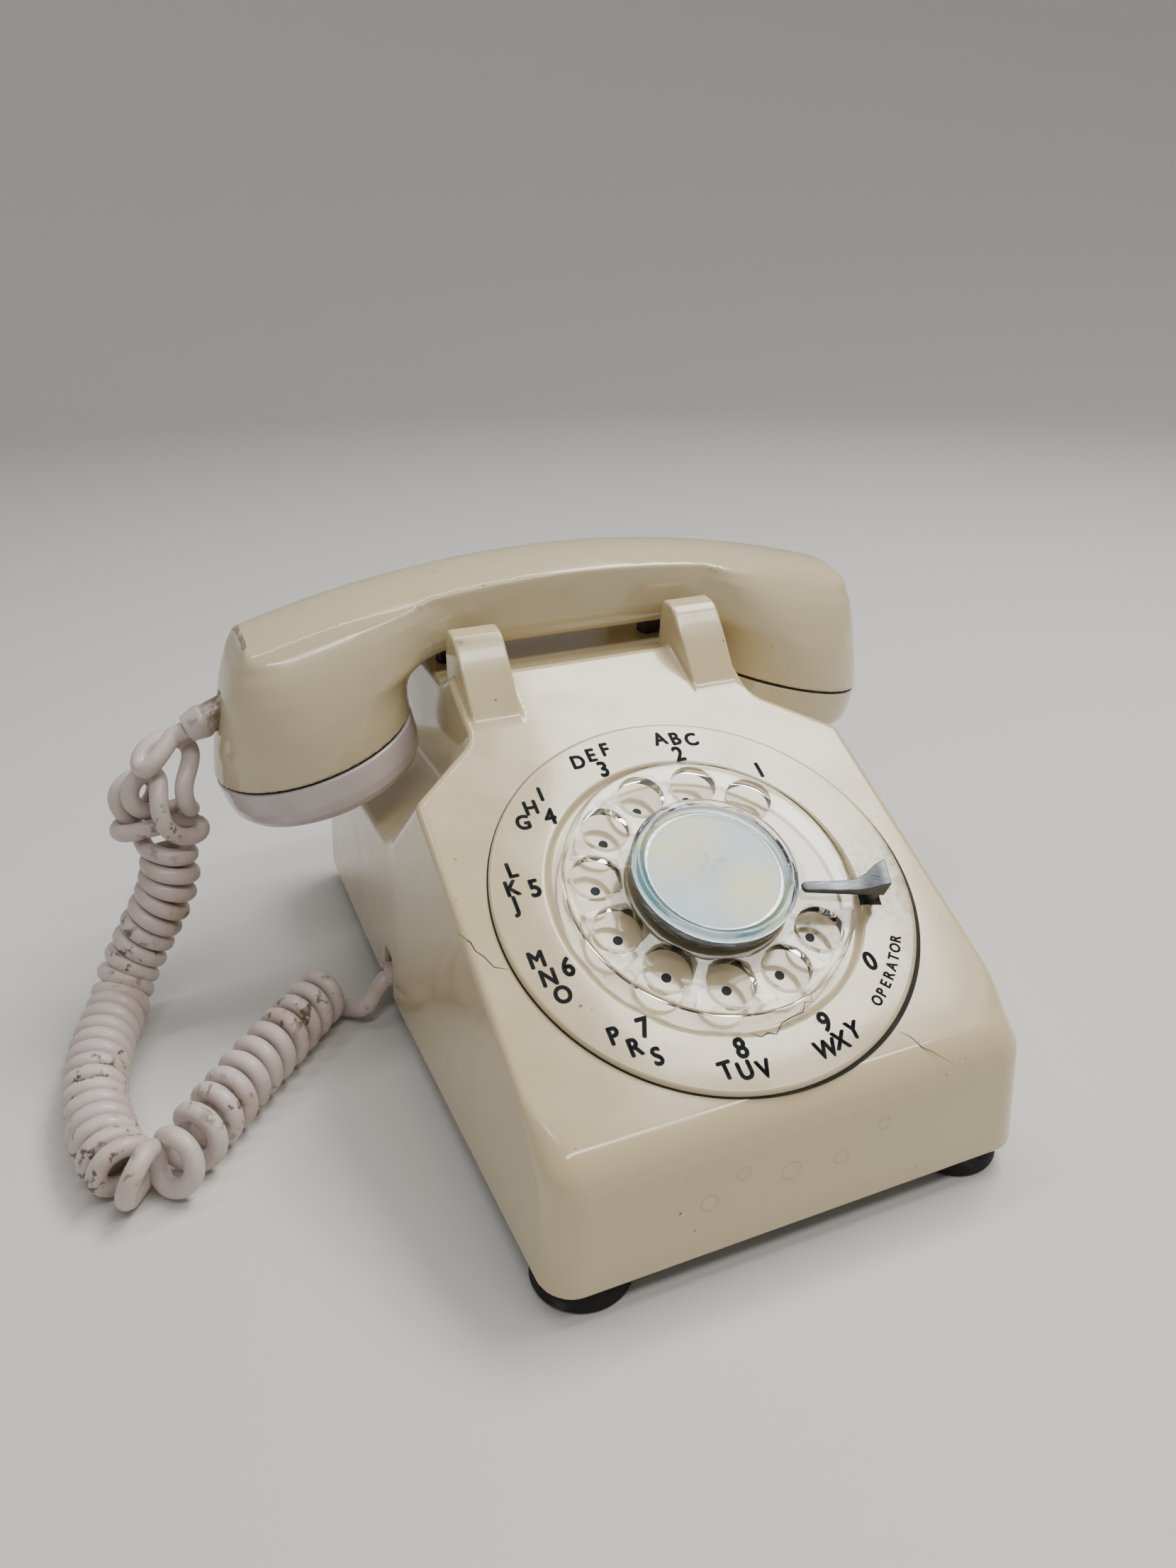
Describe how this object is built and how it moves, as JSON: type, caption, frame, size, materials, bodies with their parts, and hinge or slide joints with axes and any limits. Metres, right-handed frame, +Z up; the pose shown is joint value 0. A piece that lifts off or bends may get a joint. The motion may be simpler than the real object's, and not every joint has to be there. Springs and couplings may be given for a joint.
{
  "type": "rotary desk telephone",
  "caption": "Sloping desk telephone with a clear rotary dial, a handset resting on a horned cradle over a hook switch, a bell ringer inside and a knotted curly cord.",
  "frame": {"origin": "centre of the body's footprint, on the surface that its feet stand on", "axes": "+Z up, -Y the sloping front with the dial, +X the telephone's right as its user sees it"},
  "size_m": [0.2797, 0.228, 0.1365],
  "materials": {
    "housing_plastic": "glossy moulded plastic, aged cream, worn and speckled",
    "transmitter_plastic": "glossy moulded plastic, pale pinkish grey",
    "clear_acrylic": "clear moulded acrylic with fine scratches",
    "card_paper": "pale aqua paper, stained",
    "cord_vinyl": "soft vinyl, grubby pinkish white",
    "sheet_steel": "plain plated steel",
    "stop_metal": "satin grey metal, dulled",
    "retainer_chrome": "polished ring",
    "zinc": "dull die casting",
    "brass": "plain brass",
    "copper_wire": "enamelled copper winding",
    "black_plastic": "black moulding",
    "foot_rubber": "black rubber"
  },
  "bodies": {
    "base": {"housing": "housing_plastic", "number_plate": "housing_plastic", "cord_strand": "cord_vinyl", "cord_knot": "cord_vinyl", "coil_hanging": "cord_vinyl", "coil_bend": "cord_vinyl", "coil_lying": "cord_vinyl", "cord_tail": "cord_vinyl", "cord_grommet": "cord_vinyl", "base_plate": "sheet_steel", "housing_screw_1": "sheet_steel", "housing_screw_2": "sheet_steel", "dial_bracket_left": "sheet_steel", "dial_bracket_right": "sheet_steel", "hook_pin": "sheet_steel", "hook_bracket": "sheet_steel", "gong_screw_front": "sheet_steel", "gong_screw_rear": "sheet_steel", "clapper_pin": "sheet_steel", "ringer_core": "sheet_steel", "ringer_frame": "sheet_steel", "volume_axle": "sheet_steel", "volume_bracket": "sheet_steel", "cord_clamp": "sheet_steel", "return_spring": "sheet_steel", "finger_stop": "stop_metal", "dial_frame": "zinc", "governor_cup": "zinc", "gong_post_front": "zinc", "gong_post_rear": "zinc", "network_block": "zinc", "gong_front": "brass", "gong_rear": "brass", "ringer_coil": "copper_wire", "pulse_contacts": "black_plastic", "hook_contacts": "black_plastic", "foot_front_left": "foot_rubber", "foot_front_right": "foot_rubber", "foot_rear_left": "foot_rubber", "foot_rear_right": "foot_rubber"},
    "dial": {"finger_wheel": "clear_acrylic", "card_retainer": "retainer_chrome", "number_card": "card_paper", "card_cover": "clear_acrylic", "dial_shaft": "sheet_steel", "main_gear": "brass"},
    "pulse_shaft": {"pulse_gear": "brass"},
    "governor": {"governor_rotor": "brass"},
    "handset": {"handset_handle": "housing_plastic", "cord_boot": "cord_vinyl", "transmitter_cap": "transmitter_plastic", "receiver_cap": "housing_plastic", "transmitter_capsule": "zinc", "receiver_capsule": "zinc", "transmitter_cup": "black_plastic"},
    "plunger_left": {"hook_plunger_left": "black_plastic"},
    "plunger_right": {"hook_plunger_right": "black_plastic"},
    "lever": {"hook_lever": "sheet_steel"},
    "bell_clapper": {"clapper": "sheet_steel"},
    "ringer_volume": {"volume_wheel": "black_plastic"}
  },
  "joints": [
    {"name": "dial_spin", "type": "hinge", "parent": "base", "child": "dial", "pos_m": [0, -0.0575, 0.0713], "axis": [0, -0.4493, 0.8934], "range_deg": [-316, 0], "stiffness_Nm_per_rad": 0.006, "springref_deg": 28.65},
    {"name": "pulse_spin", "type": "hinge", "parent": "base", "child": "pulse_shaft", "pos_m": [-0.01916, -0.04038, 0.07991], "axis": [0, -0.4493, 0.8934], "range_deg": [-5, 1270]},
    {"name": "governor_spin", "type": "hinge", "parent": "base", "child": "governor", "pos_m": [-0.02433, -0.05306, 0.07353], "axis": [0, -0.4493, 0.8934], "range_deg": [-5060, 5]},
    {"name": "handset_lift", "type": "slide", "parent": "base", "child": "handset", "axis": [0, 0, 1], "range_m": [0, 0.12]},
    {"name": "plunger_left_travel", "type": "slide", "parent": "base", "child": "plunger_left", "axis": [0, 0, 1], "range_m": [0, 0.006]},
    {"name": "plunger_right_travel", "type": "slide", "parent": "base", "child": "plunger_right", "axis": [0, 0, 1], "range_m": [0, 0.006]},
    {"name": "hook_lever_tilt", "type": "hinge", "parent": "base", "child": "lever", "pos_m": [0, 0.075, 0.08], "axis": [-1, 0, 0], "range_deg": [0, 12]},
    {"name": "clapper_swing", "type": "hinge", "parent": "base", "child": "bell_clapper", "pos_m": [0.002, 0.0485, 0.0215], "axis": [0, 0, 1], "range_deg": [-1.8, 1.8], "stiffness_Nm_per_rad": 0.002},
    {"name": "volume_wheel_turn", "type": "hinge", "parent": "base", "child": "ringer_volume", "pos_m": [0.052, 0.062, 0.0126], "axis": [0, 1, 0], "range_deg": [0, 70]}
  ],
  "couplings": [
    {"joint": "pulse_spin", "follows": "dial_spin", "ratio": -4},
    {"joint": "governor_spin", "follows": "dial_spin", "ratio": 16},
    {"joint": "plunger_left_travel", "follows": "handset_lift", "ratio": 0.05},
    {"joint": "plunger_right_travel", "follows": "handset_lift", "ratio": 0.05},
    {"joint": "hook_lever_tilt", "follows": "handset_lift", "rad_per_m": 1.7}
  ]
}
